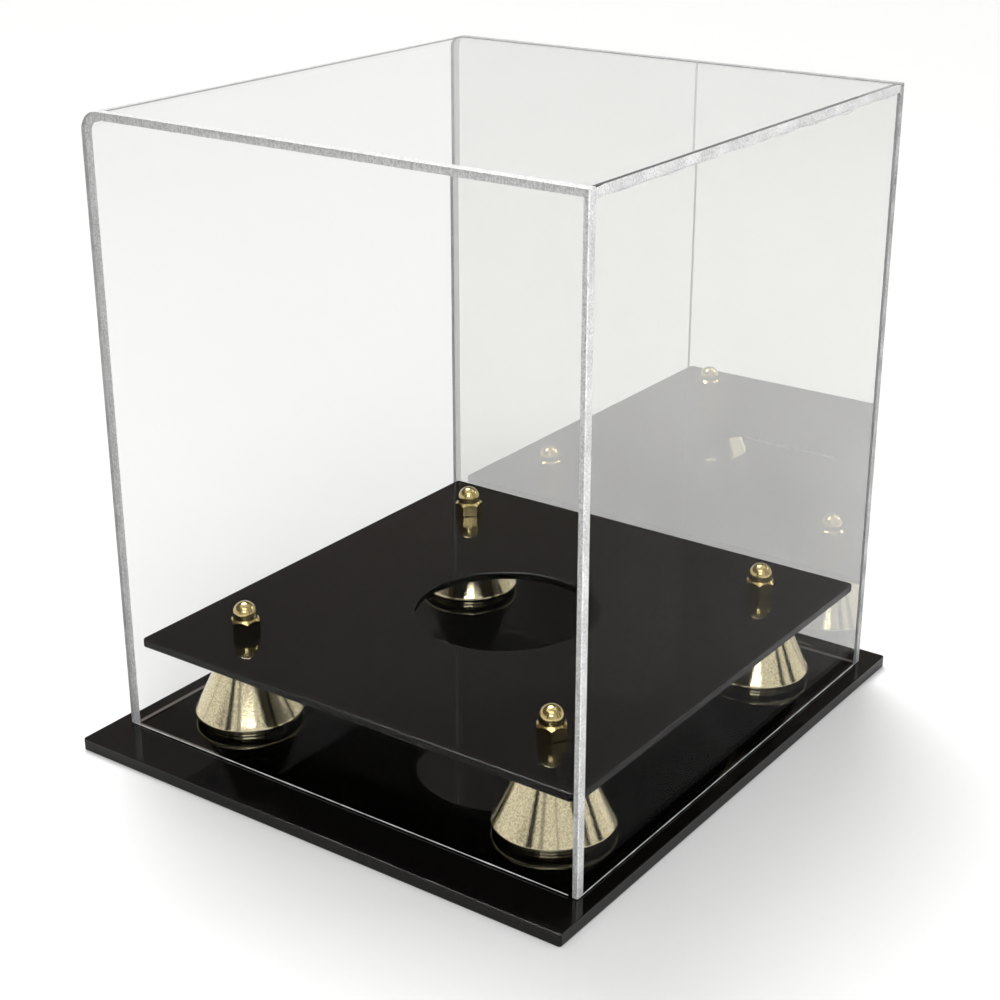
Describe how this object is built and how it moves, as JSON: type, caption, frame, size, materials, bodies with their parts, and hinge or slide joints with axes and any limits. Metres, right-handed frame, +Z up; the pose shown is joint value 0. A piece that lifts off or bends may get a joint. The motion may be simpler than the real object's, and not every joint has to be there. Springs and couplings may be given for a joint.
{
  "type": "display case",
  "caption": "Clear lift-off cover with a mirrored back over a raised black deck with a round ball seat, on conical gold stand-offs and a black base plate.",
  "frame": {"origin": "middle of the base plate's underside", "axes": "+X to the right along the front, +Y to the mirrored back, +Z up"},
  "size_m": [0.202, 0.2222, 0.2225],
  "materials": {
    "black_acrylic": "polished",
    "gold_plate": "polished",
    "cap_nut_brass": "polished",
    "screw_steel": "satin",
    "clear_acrylic": "polished",
    "mirror_acrylic": "polished"
  },
  "bodies": {
    "base": {"base_plate": "black_acrylic", "deck_plate": "black_acrylic", "riser_front_left": "gold_plate", "riser_front_right": "gold_plate", "riser_back_left": "gold_plate", "riser_back_right": "gold_plate", "cap_nut_front_left": "cap_nut_brass", "cap_nut_front_right": "cap_nut_brass", "cap_nut_back_left": "cap_nut_brass", "cap_nut_back_right": "cap_nut_brass", "screw_front_left": "screw_steel", "screw_front_right": "screw_steel", "screw_back_left": "screw_steel", "screw_back_right": "screw_steel"},
    "cover": {"cover_bent_sheet": "clear_acrylic", "cover_right_wall": "clear_acrylic", "cover_front_panel": "clear_acrylic", "cover_mirror_panel": "mirror_acrylic"}
  },
  "joints": [
    {"name": "cover_lift", "type": "slide", "parent": "base", "child": "cover", "axis": [0, 0, 1], "range_m": [0, 0.23]}
  ]
}
